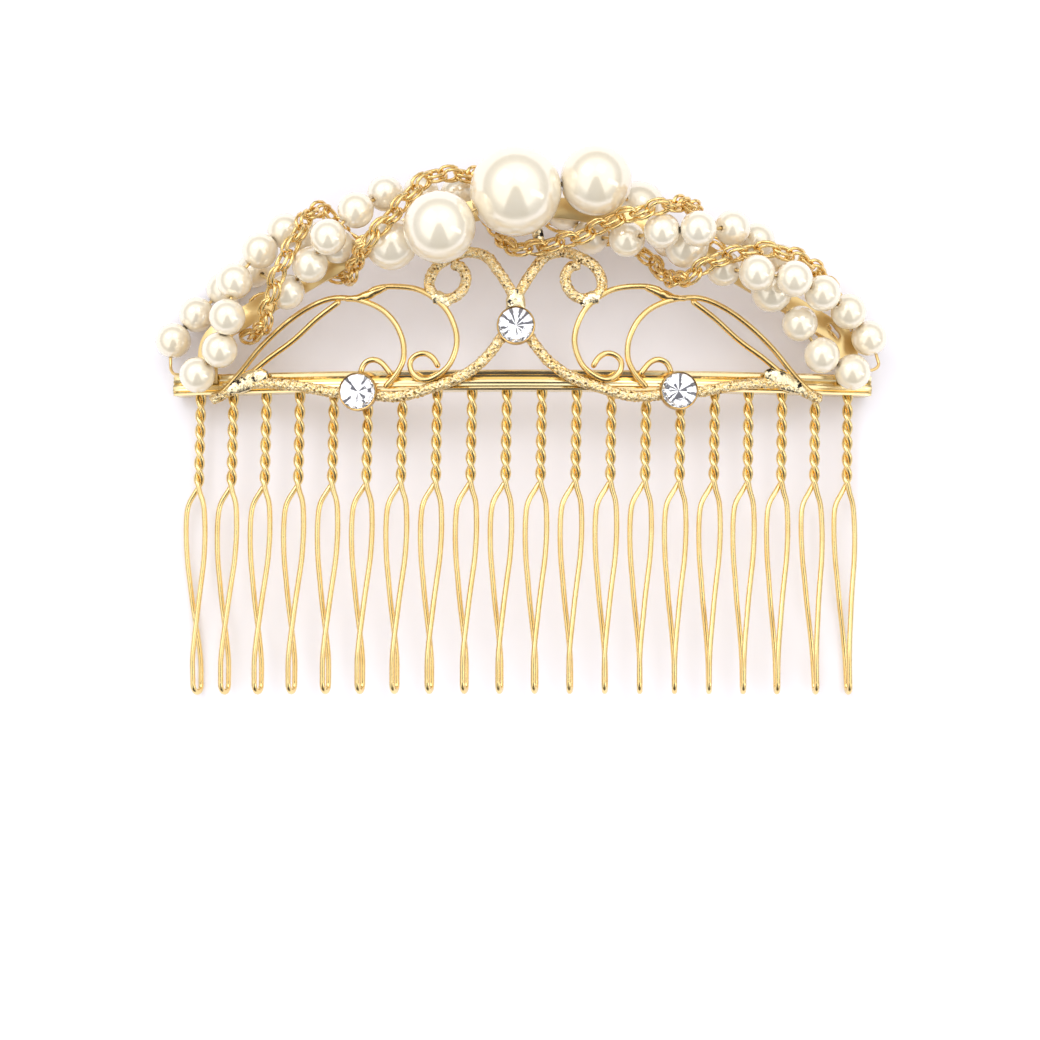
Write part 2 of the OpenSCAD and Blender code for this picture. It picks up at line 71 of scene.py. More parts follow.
# Leg rows of a tooth: height, spread of the legs along the bow, depth between them, lean of their middle
LEGS = (
    (22.4, 0.85, 0.45, -0.4),
    (21.4, 1.75, 0.35, -0.55),
    (20.2, 2.2, 0.3, -0.65),
    (17.8, 2.35, 0.3, -0.7),
    (15.0, 2.1, 0.4, -0.75),
    (12.7, 1.6, 0.6, -0.8),
    (10.4, 1.1, 0.9, -0.85),
    (8.2, 0.6, 1.25, -0.85),
    (6.0, 0.1, 1.6, -0.85),
    (3.8, -0.25, 1.9, -0.85),
    (1.6, -0.3, 1.75, -0.85),
)

# Bar: its section as distance from the middle of its thickness and height, and half its length
BAR_HALF = 39.3
BAR_SECTION = (
    (-0.98, 33.4),
    (-0.58, 33.4),
    (-0.58, 34.8),
    (0.70, 34.8),
    (0.70, 33.4),
    (0.90, 33.4),
    (1.10, 33.6),
    (1.10, 33.86),
    (0.86, 33.88),
    (0.86, 34.02),
    (1.06, 34.08),
    (1.10, 34.3),
    (1.02, 34.58),
    (0.84, 34.62),
    (0.84, 34.72),
    (1.04, 34.76),
    (1.10, 35.05),
    (0.98, 35.45),
    (0.65, 35.7),
    (-0.73, 35.7),
    (-0.98, 35.5),
)

# Filigree
LACE_U = -0.74
LACE_LIFT = 1.2
LACE_T = 0.7
STRIP_W = 1.16
WIRE_W = 0.66
STONES = {
    "centre": (-0.7, 40.4),
    "left": (-17.9, 33.2),
    "right": (17.0, 33.3),
}
# Hammered strips of one half, each a row of places: out from the middle, and height
STRIPS = (
    ((0, 43.4), (1.1, 45.3), (2.1, 46.8), (3.2, 48.1), (4.8, 48.6), (6.2, 48.4), (8.2, 47.4), (9.2, 46.1),
     (9.4, 44.7), (8.6, 43.7), (7.0, 43.5), (5.8, 44.4), (5.4, 45.8), (5.9, 46.9), (6.7, 47.2)),
    ((0, 41.5), (1.5, 39.2), (2.9, 37.3), (4.2, 36.0), (6.4, 34.6), (9.2, 33.6), (12.6, 32.7), (15.8, 32.9),
     (17.6, 33.3), (20.2, 33.3), (23.8, 34.0), (27.4, 34.4), (30.2, 34.2), (33.6, 32.8)),
)
# Plain wires of one half: the long scroll, its inner hook, the second scroll and the stay
WIRES = (
    ((33.6, 32.8), (32.2, 33.9), (30.4, 35.8), (28.2, 38.4), (25.6, 40.8), (23.0, 42.6), (20.6, 43.6),
     (18.6, 43.7), (16.6, 43.3), (14.7, 42.4), (13.3, 41.0), (12.5, 39.4), (12.2, 38.0), (12.3, 36.6),
     (13.0, 35.2), (14.1, 33.9)),
    ((17.0, 34.3), (16.9, 35.6), (16.4, 36.5), (15.5, 36.8), (14.6, 36.4), (13.7, 35.3)),
    ((16.4, 44.0), (15.3, 44.7), (13.4, 44.9), (10.9, 44.6), (9.1, 43.7), (7.6, 42.3), (6.7, 40.5),
     (6.4, 38.7), (6.8, 37.0), (7.6, 35.7), (9.0, 34.7), (10.1, 34.5), (11.1, 35.1), (11.5, 35.9),
     (11.4, 36.7), (10.7, 37.3), (9.8, 37.4), (9.0, 36.9), (8.5, 36.1)),
    ((29.2, 35.6), (27.2, 37.2), (24.5, 39.1), (21.8, 41.5), (19.5, 43.2)),
)
# Solder plates of one half, as rows of places with the width there
PLATES = (
    ((27.4, 35.3, 0.9), (28.4, 35.2, 1.9), (29.7, 34.7, 2.1), (31.0, 34.1, 1.7), (31.9, 33.6, 0.9)),
    ((9.1, 43.5, 1.2), (8.5, 43.6, 1.5), (7.7, 43.2, 1.2), (7.3, 42.6, 0.6)),
)
# Smooth webs of one half, in the same form
WEBS = (((14.2, 44.75, 0.5), (15.2, 44.35, 0.7), (16.3, 43.95, 1.0), (17.4, 43.65, 0.75), (18.6, 43.6, 0.5)),)
LACE_POST = ((0.0, 41.6, 2.0), (0.0, 42.8, 2.1), (0.0, 43.6, 1.9), (0.0, 44.4, 1.1))
LACE_TO_ARCH = ((3.1, 48.6), (2.6, 49.8), (2.3, 51.2))

# Pearls of the string that starts low on the left, in front of the band: u, v, w and diameter,
# which is 0 where the wire only bends under the band's edge
OUTER = (
    (-35.4, 35.3, 3.8, 3.82),
    (-32.4, 37.8, 5.2, 3.82),
    (-31.1, 41.2, 6.7, 3.82),
    (-30.7, 45.3, 5.6, 3.82),
    (-28.3, 48.8, 4.2, 3.82),
    (-26.1, 51.3, 2.0, 3.82),
    (-24.3, 51.0, -1.5, 3.82),
    (-19.9, 49.2, 3.8, 3.82),
    (-13.9, 49.1, 4.7, 5.6),
    (-8.5, 50.3, 8.4, 7.7),
    (-0.7, 54.5, 6.9, 9.8),
    (7.7, 55.9, 5.9, 7.7),
    (13.2, 54.3, -1.9, 5.8),
    (16.6, 50.6, -1.2, 3.82),
    (17.0, 48.2, 1.4, 0.0),
    (17.5, 49.0, 4.3, 4.7),
    (21.6, 46.7, 3.9, 3.82),
    (24.2, 45.6, 8.2, 3.82),
    (28.0, 45.0, 8.8, 3.82),
    (31.6, 43.8, 6.9, 3.82),
    (35.2, 42.2, 4.8, 3.82),
    (38.0, 39.5, 3.6, 3.82),
)
LARGE = {9: "left", 10: "centre", 11: "right"}
# Pearls of the string that starts at the left end of the bar and passes behind the band
INNER = (
    (-39.1, 39.5, 1.6, 3.82),
    (-36.8, 42.5, 0.4, 3.82),
    (-34.1, 45.4, -1.0, 3.82),
    (-30.8, 47.7, -2.0, 3.82),
    (-25.4, 44.2, 3.9, 3.82),
    (-22.5, 46.9, 5.4, 3.82),
    (-20.1, 49.5, 7.8, 3.82),
    (-17.5, 52.7, 6.0, 3.82),
    (-14.9, 55.1, 2.6, 3.82),
    (-11.3, 55.7, -0.2, 3.82),
    (-7.3, 55.5, -1.1, 3.82),
    (-3.3, 55.0, -1.7, 3.82),
    (0.7, 54.2, -1.2, 3.82),
    (4.7, 53.6, -1.5, 3.82),
    (7.6, 50.7, -0.7, 3.82),
    (11.2, 49.8, 3.5, 3.82),
    (14.4, 50.1, 7.5, 3.82),
    (18.0, 50.2, 8.6, 3.82),
    (22.3, 51.0, 5.2, 3.82),
    (25.8, 50.2, 2.0, 3.82),
    (29.9, 48.6, -2.2, 3.82),
    (26.8, 44.2, 4.2, 4.4),
    (30.0, 40.8, 3.9, 3.82),
    (32.3, 37.3, 4.4, 3.82),
    (35.9, 35.6, 4.0, 3.82),
)
# Free loops of the wire at the left end of the bar and at the right
LOOP_LEFT = ((-39.3, 36.9, 1.8), (-38.9, 35.9, 2.3), (-38.0, 35.5, 2.9))
LOOP_RIGHT = ((38.9, 37.2, 3.7), (38.9, 36.4, 3.9), (38.2, 35.9, 4.0))
RUN = OUTER + LOOP_RIGHT + INNER[::-1] + LOOP_LEFT
FIRST_INNER = len(OUTER) + len(LOOP_RIGHT)

# Routes of the two chains, as places on the bow
ROUTE_OUTER = (
    (-31.8, 39.2, 0.0), (-30.5, 39.8, 0.4), (-29.1, 40.0, 2.0), (-27.9, 40.5, 4.0),
    (-26.9, 42.2, 5.9), (-26.1, 44.0, 6.9), (-25.0, 47.0, 7.2), (-23.9, 49.5, 6.4),
    (-23.3, 51.7, 5.0), (-22.9, 53.0, 3.3), (-22.2, 53.6, 1.6), (-21.3, 53.0, 0.1),
    (-20.4, 51.7, -0.9), (-19.2, 50.6, -1.2), (-17.4, 50.2, -1.2), (-15.2, 51.0, -1.4),
    (-12.6, 52.2, -2.2), (-9.8, 53.4, -3.6), (-7.4, 54.3, -4.4), (-5.2, 54.3, -4.8),
    (-3.6, 53.0, -4.6), (-2.7, 51.4, -3.0), (-2.1, 50.2, -1.0), (-1.3, 49.3, 0.8),
    (0.0, 48.9, 2.2), (1.9, 48.9, 3.0), (4.2, 49.4, 4.0), (6.4, 49.9, 5.0),
    (8.1, 50.8, 5.8), (10.2, 51.6, 7.0), (12.2, 52.0, 8.6), (13.9, 52.4, 9.4),
    (15.5, 52.9, 8.2), (17.0, 53.3, 6.3), (18.2, 53.3, 4.2), (19.1, 52.7, 1.9),
    (20.3, 51.2, -0.2), (22.4, 49.3, -1.0), (25.1, 47.2, -0.9), (27.8, 45.4, -0.8),
    (31.0, 43.2, -0.8), (33.9, 41.1, -0.8), (35.5, 39.3, -0.6), (35.9, 38.4, -0.5),
)
ROUTE_INNER = (
    (-35.0, 37.3, 0.0), (-34.4, 39.2, 0.0), (-33.0, 41.0, 0.0), (-31.3, 42.7, -0.4),
    (-29.3, 44.0, -0.8), (-27.1, 44.7, -0.8), (-24.4, 46.0, -0.8), (-22.1, 46.9, -0.8),
    (-20.2, 46.3, -0.2), (-18.8, 46.1, 1.8), (-17.7, 47.2, 4.4), (-16.6, 48.1, 7.2),
    (-15.4, 49.4, 8.5), (-14.1, 50.8, 8.2), (-13.1, 52.4, 7.2), (-12.0, 53.9, 6.4),
    (-10.8, 55.6, 5.4), (-9.2, 56.8, 4.2), (-7.5, 57.0, 3.2), (-5.7, 57.2, 1.4),
    (-4.1, 57.9, -1.4), (-2.1, 57.6, -3.8), (1.3, 54.3, -4.6), (4.6, 52.6, -4.8),
    (7.8, 51.6, -4.7), (11.0, 50.9, -4.4), (13.4, 49.9, -3.9), (15.0, 48.1, -2.6),
    (15.9, 46.5, -0.6), (16.4, 45.6, 1.7), (16.9, 45.3, 4.0), (17.7, 45.5, 6.0),
    (19.1, 46.5, 6.9), (20.8, 47.4, 6.8), (22.8, 48.0, 6.6), (24.6, 48.4, 6.4),
    (26.5, 48.4, 6.6), (28.3, 48.1, 6.2), (30.2, 47.6, 5.0), (32.4, 46.8, 3.0),
    (34.7, 45.1, 1.0), (36.5, 42.9, 0.2), (38.2, 40.8, -1.0), (37.8, 38.5, -0.8),
)
LINK_STEP = 1.85
LINK_LENGTH = 2.8


def length(name, text, value, low, high):
    """A size in mm, kept in metres."""
    return bpy.props.FloatProperty(
        name=name, description=text, default=value * MM, min=low * MM, max=high * MM, unit="LENGTH", precision=5
    )


def colour(name, text, value):
    """A colour that a user can change."""
    return bpy.props.FloatVectorProperty(
        name=name, description=text, default=value, size=3, min=0.0, max=1.0, subtype="COLOR"
    )


class CombSizes(bpy.types.PropertyGroup):
    """Sizes of the comb's visible pieces"""

    tooth_wire: length("Tooth wire", "Radius of the wire that the teeth are bent from", 0.305, 0.2, 0.31)
    twist_lead: length("Twist lead", "Length of one full turn of a tooth's twist", 3.56, 3.0, 5.0)
    string_wire: length("String wire", "Radius of the wire that the pearls are strung on", 0.18, 0.1, 0.25)
    link_width: length("Link width", "Width of a chain link", 2.1, 1.4, 2.1)
    link_wire: length("Link wire", "Radius of a chain link's wire", 0.2, 0.1, 0.2)
    pearl_coat: length("Pearl coat", "Thickness of the coat over each bead", 0.09, 0.0, 0.1)
    pearl_hole: length("Pearl hole", "Radius of the mouth of a pearl's hole", 0.3, 0.2, 0.45)
    relief: length("Relief", "Depth of the pits in the hammered strips", 0.11, 0.0, 0.2)


class CombColours(bpy.types.PropertyGroup):
    """Colours of the comb's finishes"""

    gilt: colour("Gilt", "Colour of the plated gold", (0.96, 0.75, 0.36))
    gilt_deep: colour("Deep gilt", "Colour of the plated gold where it is thicker", (0.88, 0.59, 0.22))
    gilt_pale: colour("Pale gilt", "Colour of the casting's pale gold", (0.98, 0.84, 0.55))
    pearl: colour("Pearl", "Colour of the pearls' coat", (0.97, 0.91, 0.79))
    pearl_warm: colour("Warm pearl", "Colour of the pearls where the coat is thicker", (0.96, 0.84, 0.62))
    floor: colour("Floor", "Colour of the plain floor", (0.94, 0.93, 1.0))


# Geometry


def on_bow(place):
    """The point in the comb's frame at u, v and w."""
    turn = place[0] / BOW_R
    out = BOW_R + place[2]
    return Vector((out * math.sin(turn), place[1], out * math.cos(turn) - BOW_R))


def outward(point):
    """Direction away from the bow's axis at a point."""
    return Vector((point.x, 0.0, point.z + BOW_R)).normalized()


def at_bow(u, v=0.0, w=0.0):
    """Frame on the bow whose z points out."""
    return Matrix.Translation(on_bow((u, v, w))) @ Matrix.Rotation(u / BOW_R, 4, "Y")


def curve(rows, steps):
    """Smooth line through the rows, with that many steps from each row to the next."""
    points = [Vector(row) for row in rows]
    made = []
    for i in range(len(points) - 1):
        a, b, c, d = (points[max(i - 1, 0)], points[i], points[i + 1], points[min(i + 2, len(points) - 1)])
        for k in range(steps):
            t = k / steps
            made.append(
                (2 * b + (c - a) * t + (2 * a - 5 * b + 4 * c - d) * t**2 + (3 * b - a - 3 * c + d) * t**3) / 2
            )
    return made + [points[-1]]


def running(line):
    """Running length at each point of a line."""
    total = [0.0]
    for a, b in zip(line, line[1:]):
        total.append(total[-1] + (b - a).length)
    return total


def at_length(line, lengths, distance):
    """The point of a line at a running length."""
    i = max(k for k in range(len(line) - 1) if lengths[k] <= distance)
    share = (distance - lengths[i]) / (lengths[i + 1] - lengths[i])
    return line[i].lerp(line[i + 1], share)


def evenly(line, spacing):
    """The line again, with its points evenly apart."""
    lengths = running(line)
    count = max(2, round(lengths[-1] / spacing))
    return [at_length(line, lengths, lengths[-1] * k / count) for k in range(count)] + [line[-1]]


def ring_frames(line, start, on_sheet, closed):
    """A frame at each point of a line: z runs along it, and x starts at start or points out of the bow."""
    frames = []
    across = Vector(start)
    last = len(line) - 1
    for i, point in enumerate(line):
        if closed:
            along = line[(i + 1) % len(line)] - line[i - 1]
        else:
            along = line[min(i + 1, last)] - line[max(i - 1, 0)]
        along.normalize()
        if on_sheet:
            across = outward(point)
        across = (across - across.dot(along) * along).normalized()
        beside = along.cross(across)
        turn = Matrix((across, beside, along)).transposed().to_4x4()
        frames.append(Matrix.Translation(point) @ turn)
    return frames


ROUND_END = (85, 60, 30)


def round_ended(line, radius):
    """The line and its radii, with a rounded end on each side."""
    first = (line[0] - line[1]).normalized()
    last = (line[-1] - line[-2]).normalized()
    sines = [math.sin(math.radians(a)) * radius for a in ROUND_END]
    shares = [math.cos(math.radians(a)) for a in ROUND_END]
    points = [line[0] + first * s for s in sines] + line + [line[-1] + last * s for s in reversed(sines)]
    radii = [radius * s for s in shares] + [radius] * len(line) + [radius * s for s in reversed(shares)]
    return points, radii


def sweep(line, radii, sides, start=(0, 0, 1), on_sheet=False, closed=False, flat=1.0):
    """A circle extruded ring by ring along a line, closed at its ends or into a loop."""
    bm = bmesh.new()
    frames = [
        place @ Matrix.Diagonal((radius, radius * flat, 1.0, 1.0))
        for place, radius in zip(ring_frames(line, start, on_sheet, closed), radii)
    ]
    first = bmesh.ops.create_circle(bm, segments=sides, radius=1.0, cap_ends=not closed, matrix=frames[0])
    edges = list({edge for vert in first["verts"] for edge in vert.link_edges})
    first_edges = edges
    for before, after in zip(frames, frames[1:]):
        grown = bmesh.ops.extrude_edge_only(bm, edges=edges)["geom"]
        verts = [item for item in grown if isinstance(item, bmesh.types.BMVert)]
        edges = [item for item in grown if isinstance(item, bmesh.types.BMEdge) and item.is_boundary]
        bmesh.ops.transform(bm, matrix=after @ before.inverted(), verts=verts)
    if closed:
        bmesh.ops.bridge_loops(bm, edges=first_edges + edges)
    else:
        bmesh.ops.edgeloop_fill(bm, edges=edges)
    return bm


class Gather:
    """Meshes collected into one piece."""

    def __init__(self):
        self.bm = bmesh.new()

    def add(self, part, place=None):
        """Takes a bmesh or a mesh into the piece, and frees a bmesh."""
        if isinstance(part, bmesh.types.BMesh):
            held = bpy.data.meshes.new("held")
            part.to_mesh(held)
            part.free()
            self.add(held, place)
            bpy.data.meshes.remove(held)
            return
        count = len(self.bm.verts)
        self.bm.from_mesh(part)
        if place is not None:
            self.bm.verts.ensure_lookup_table()
            bmesh.ops.transform(self.bm, matrix=place, verts=self.bm.verts[count:])

    def finish(self, name, slot, material, nodes, sharp=180):
        """The finished object, seated, riding on the comb and standing for its CAD nodes."""
        bmesh.ops.recalc_face_normals(self.bm, faces=self.bm.faces)
        bmesh.ops.transform(self.bm, matrix=SEAT, verts=self.bm.verts)
        mesh = bpy.data.meshes.new(name)
        self.bm.to_mesh(mesh)
        self.bm.free()
        mesh.shade_smooth()
        mesh.set_sharp_from_angle(angle=math.radians(sharp))
        mesh.materials.append(material)
        made = bpy.data.objects.new(name, mesh)
        bpy.context.scene.collection.objects.link(made)
        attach(made, "root")
        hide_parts(*nodes)
        return made


def profile_face(bm, rows):
    """A face through a few points."""
    verts = [bmesh.ops.create_vert(bm, co=row)["vert"][0] for row in rows]
    return bmesh.ops.contextual_create(bm, geom=verts)["faces"][0]


# Shaders

FACET = "facet"


class Signal:
    """A value that a shader works out, so that sums and products are written as Python."""

    def __init__(self, shade, socket):
        self.shade = shade
        self.socket = socket

    def _math(self, operation, first, second):
        return self.shade.node("ShaderNodeMath", {"operation": operation}, {0: first, 1: second})

    def __add__(self, other):
        return self._math("ADD", self, other)

    def __radd__(self, other):
        return self._math("ADD", other, self)

    def __sub__(self, other):
        return self._math("SUBTRACT", self, other)

    def __rsub__(self, other):
        return self._math("SUBTRACT", other, self)

    def __mul__(self, other):
        return self._math("MULTIPLY", self, other)

    def __rmul__(self, other):
        return self._math("MULTIPLY", other, self)


def set_stops(ramp, stops):
    """Sets a ramp's grey stops."""
    for k, (place, grey) in enumerate(stops):
        stop = ramp.elements[k] if k < 2 else ramp.elements.new(place)
        stop.position = place
        stop.color = (grey, grey, grey, 1.0)


class Shade:
    """A material's nodes."""

    def __init__(self, name):
        self.material = bpy.data.materials.new(name)
        self.material.use_nodes = True
        self.tree = self.material.node_tree
        self.tree.nodes.clear()
        self.coords = self.node("ShaderNodeTexCoord", output="Object")

    def node(self, kind, settings=None, values=None, output=0):
        """Adds a node: its settings first, then the values or links of its sockets."""
        made = self.tree.nodes.new(kind)
        for name, value in (settings or {}).items():
            if name == "stops":
                set_stops(made.color_ramp, value)
            else:
                setattr(made, name, value)
        for name, value in (values or {}).items():
            if isinstance(value, Signal):
                self.tree.links.new(value.socket, made.inputs[name])
            else:
                made.inputs[name].default_value = value
        return Signal(self, made.outputs[output]) if made.outputs else None

    def noise(self, size, detail=2.0, rough=0.5):
        """Soft noise whose patches have that size in mm."""
        values = {"Vector": self.coords, "Scale": 1 / (size * MM), "Detail": detail, "Roughness": rough}
        return self.node("ShaderNodeTexNoise", {}, values, "Fac")

    def cells(self, size, feature="F1"):
        """Distance from the middles of cells of that size in mm."""
        values = {"Vector": self.coords, "Scale": 1 / (size * MM)}
        return self.node("ShaderNodeTexVoronoi", {"feature": feature}, values, "Distance")

    def ramp(self, value, *stops):
        """A value through a ramp."""
        return self.node("ShaderNodeValToRGB", {"stops": stops}, {"Fac": value}, "Color")

    def mix(self, factor, first, second):
        """Two colours, mixed."""
        return self.node("ShaderNodeMix", {"data_type": "RGBA"}, {0: factor, 6: first, 7: second}, 2)

    def bump(self, height, depth, strength=1.0):
        """A normal from a height, whose full depth is in mm."""
        values = {"Height": height, "Distance": depth * MM, "Strength": strength}
        return self.node("ShaderNodeBump", {}, values, "Normal")

    def surface(self, **values):
        """The material, with a principled surface of these values."""
        named = {name.replace("_", " "): value for name, value in values.items()}
        shader = self.node("ShaderNodeBsdfPrincipled", {}, named)
        self.node("ShaderNodeOutputMaterial", {}, {"Surface": shader})
        return self.material


def rgba(value):
    """A colour setting as a shader's colour."""
    return (*value, 1.0)


def gilt_wire(colours):
    """Drawn wire under bright plating, with faint drawing marks and thicker plating in patches."""
    shade = Shade("gilt_wire")
    patches = shade.ramp(shade.noise(2.4), (0.38, 0.0), (0.70, 1.0))
    marks = shade.noise(0.12, detail=3.0)
    return shade.surface(
        Base_Color=shade.mix(patches * 0.55, rgba(colours.gilt), rgba(colours.gilt_deep)),
        Metallic=1.0,
        Roughness=shade.noise(0.5) * 0.14 + 0.13,
        Normal=shade.bump(marks, 0.004),
    )


def gilt_sheet(colours):
    """Rolled sheet under bright plating, with fine scratches and a little wear."""
    shade = Shade("gilt_sheet")
    stretched = shade.node("ShaderNodeMapping", {}, {"Vector": shade.coords, "Scale": (0.06, 1.0, 1.0)}, "Vector")
    scratches = shade.node(
        "ShaderNodeTexNoise", {}, {"Vector": stretched, "Scale": 1 / (0.1 * MM), "Detail": 2.0}, "Fac"
    )
    blotches = shade.ramp(shade.noise(5.0, detail=4.0), (0.45, 0.0), (0.75, 1.0))
    return shade.surface(
        Base_Color=shade.mix(blotches * 0.5 + 0.35, rgba(colours.gilt), rgba(colours.gilt_pale)),
        Metallic=1.0,
        Roughness=scratches * 0.12 + 0.10,
        Normal=shade.bump(scratches, 0.0015),
    )


def gilt_hammered(colours):
    """Cast strips with a sparkling, pitted face, with painted shade as dark spots among the pits."""
    shade = Shade("gilt_hammered")
    pits = shade.ramp(shade.cells(0.42), (0.10, 0.0), (0.45, 1.0))
    grain = shade.noise(0.3, detail=3.0, rough=0.6)
    # Painted shade: dark brown spots among the pits stand for the shade inside the hammer marks.
    dark = shade.ramp(shade.cells(0.66) + grain * 0.3, (0.30, 0.0), (0.42, 1.0))
    body = shade.mix(shade.ramp(grain, (0.38, 0.0), (0.60, 1.0)), rgba(colours.gilt_deep), rgba(colours.gilt_pale))
    return shade.surface(
        Base_Color=shade.mix(dark, (0.24, 0.14, 0.05, 1.0), body),
        Metallic=1.0,
        Roughness=grain * 0.25 + 0.12,
        Normal=shade.bump(grain + pits * 0.6, 0.16),
    )


def gilt_cast(colours):
    """Smooth cast wires and webs, pale gold with soft dents."""
    shade = Shade("gilt_cast")
    dents = shade.noise(0.9, detail=3.0)
    return shade.surface(
        Base_Color=shade.mix(shade.noise(3.0), rgba(colours.gilt_deep), rgba(colours.gilt)),
        Metallic=1.0,
        Roughness=shade.noise(0.35) * 0.16 + 0.14,
        Normal=shade.bump(dents, 0.02),
    )


def gilt_solder(colours):
    """Flowed solder under the plating, with near-black patches that are painted dark reflections."""
    shade = Shade("gilt_solder")
    flow = shade.noise(0.45, detail=3.0)
    # Painted reflection: near-black patches stand for the dark reflections in the rough solder.
    painted_dark_reflection = shade.ramp(shade.noise(0.9, detail=3.0, rough=0.6), (0.54, 0.0), (0.60, 1.0))
    return shade.surface(
        Base_Color=shade.mix(painted_dark_reflection, rgba(colours.gilt_pale), (0.035, 0.03, 0.03, 1.0)),
        Metallic=1.0,
        Roughness=flow * 0.2 + 0.12,
        Normal=shade.bump(flow, 0.10),
    )


def cup_metal(colours):
    """The cups' thin walls, painted darker than the rest of the casting as painted shade for the dark rim round each
    stone.
    """
    shade = Shade("cup_metal")
    blotches = shade.noise(0.8, detail=2.0)
    return shade.surface(
        # Painted shade: dark brown blotches darken the cups below the casting's gold.
        Base_Color=shade.mix(blotches, (0.20, 0.13, 0.07, 1.0), rgba(colours.gilt_deep)),
        Metallic=1.0,
        Roughness=blotches * 0.15 + 0.15,
        Normal=shade.bump(blotches, 0.01),
    )


def gilt_chain(colours):
    """Bright links, a little deeper in colour than the wires."""
    shade = Shade("gilt_chain")
    return shade.surface(
        Base_Color=shade.mix(shade.noise(1.5), rgba(colours.gilt_deep), rgba(colours.gilt)),
        Metallic=1.0,
        Roughness=shade.noise(0.3) * 0.14 + 0.10,
        Normal=shade.bump(shade.noise(0.2), 0.004),
    )


def pearl_coat(colours):
    """Glossy nacre-like coat, cream under white, with faint clouds."""
    shade = Shade("pearl_coat")
    clouds = shade.noise(3.5, detail=3.0)
    orient = shade.noise(2.2, detail=1.0)
    return shade.surface(
        Base_Color=shade.mix(clouds, rgba(colours.pearl), rgba(colours.pearl_warm)),
        Metallic=0.28,
        Roughness=orient * 0.04 + 0.18,
        Coat_Weight=1.0,
        Coat_Roughness=0.05,
        Coat_IOR=1.75,
        Normal=shade.bump(orient, 0.004),
    )


def clear_stone():
    """Clear cut glass."""
    shade = Shade("clear_stone")
    faint = shade.noise(1.5)
    return shade.surface(
        Base_Color=shade.mix(faint, (1.0, 1.0, 1.0, 1.0), (0.97, 0.98, 1.0, 1.0)),
        Roughness=faint * 0.01,
        Transmission_Weight=0.95,
        IOR=1.45,
    )


def stone_foil():
    """Silver foil behind a stone, with painted reflections, bright on most facets and dark on a few, and a painted
    glow.
    """
    shade = Shade("stone_foil")
    facet = shade.node("ShaderNodeAttribute", {"attribute_name": FACET}, output="Fac")
    wrinkles = shade.noise(0.5)
    # Painted reflection: each wedge of foil is bright or near-black, standing for what the stone mirrors.
    painted_reflection = shade.mix(facet, (0.06, 0.06, 0.08, 1.0), (0.98, 0.98, 1.0, 1.0))
    return shade.surface(
        Base_Color=shade.mix(wrinkles * 0.06, painted_reflection, (0.60, 0.60, 0.66, 1.0)),
        Metallic=0.1,
        Roughness=wrinkles * 0.08 + 0.25,
        # Painted light: the foil glows with that same bright or dark tone.
        Emission_Color=painted_reflection,
        Emission_Strength=0.7,
        Normal=shade.bump(wrinkles, 0.01),
    )


# Operators


class COMB_OT_teeth(bpy.types.Operator):
    """Bends twenty wires into teeth: twisted above, open below, closed at the tip"""

    bl_idname = "comb.teeth"
    bl_label = "Twisted teeth"

    ring_step = 3
    twist_rings = 8
    sides = 10

    def strand(self, side, lead):
        count = round((SHANK_TOP - JUNCTION_V) / lead * self.twist_rings)
        points = []
        for k in range(count, -1, -1):
            v = JUNCTION_V + (SHANK_TOP - JUNCTION_V) * k / count
            turn = math.pi / 2 + 2 * math.pi * (v - JUNCTION_V) / lead
            middle = Vector((SHANK_LEAN * (1 - k / count), v, SHANK_W))
            points.append(middle + side * HELIX_R * Vector((math.cos(turn), 0.0, math.sin(turn))))
        return points

    def leg(self, side):
        return [Vector((lean + side * spread / 2, v, SHANK_W + side * depth / 2)) for v, spread, depth, lean in LEGS]

    def path(self, straighter, lead):
        foot_v, foot_spread, foot_depth, foot_lean = LEGS[-1]
        bend_r = foot_depth / 2
        bend = []
        for degrees in (0, 30, 60, 90, 120, 150, 180):
            a = math.radians(degrees)
            x = foot_lean + foot_spread / 2 * math.cos(a)
            bend.append(Vector((x, TIP_V + bend_r * (1 - math.sin(a)), SHANK_W + bend_r * math.cos(a))))
        front = self.strand(1, lead) + self.leg(1)
        back = self.strand(-1, lead) + self.leg(-1)
        line = curve(front + bend + back[::-1], self.ring_step)
        return [p + Vector((straighter * max(0.0, 1 - p.y / JUNCTION_V), 0.0, 0.0)) for p in line]

    def execute(self, context):
        sizes = context.scene.comb_sizes
        material = gilt_wire(context.scene.comb_colours)
        radius = sizes.tooth_wire / MM
        for number in range(1, TOOTH_COUNT + 1):
            line = self.path(STRAIGHTER_BY if number in STRAIGHTER else 0.0, sizes.twist_lead / MM)
            tooth = Gather()
            u = (number - (TOOTH_COUNT + 1) / 2) * TOOTH_PITCH + ROW_SHIFT
            tooth.add(sweep(line, [radius] * len(line), self.sides, (1, 0, 0)), at_bow(u))
            tooth.finish(f"twisted_tooth_{number:02d}", "gilt_wire", material, [f"tooth_{number:02d}"])
        return {"FINISHED"}


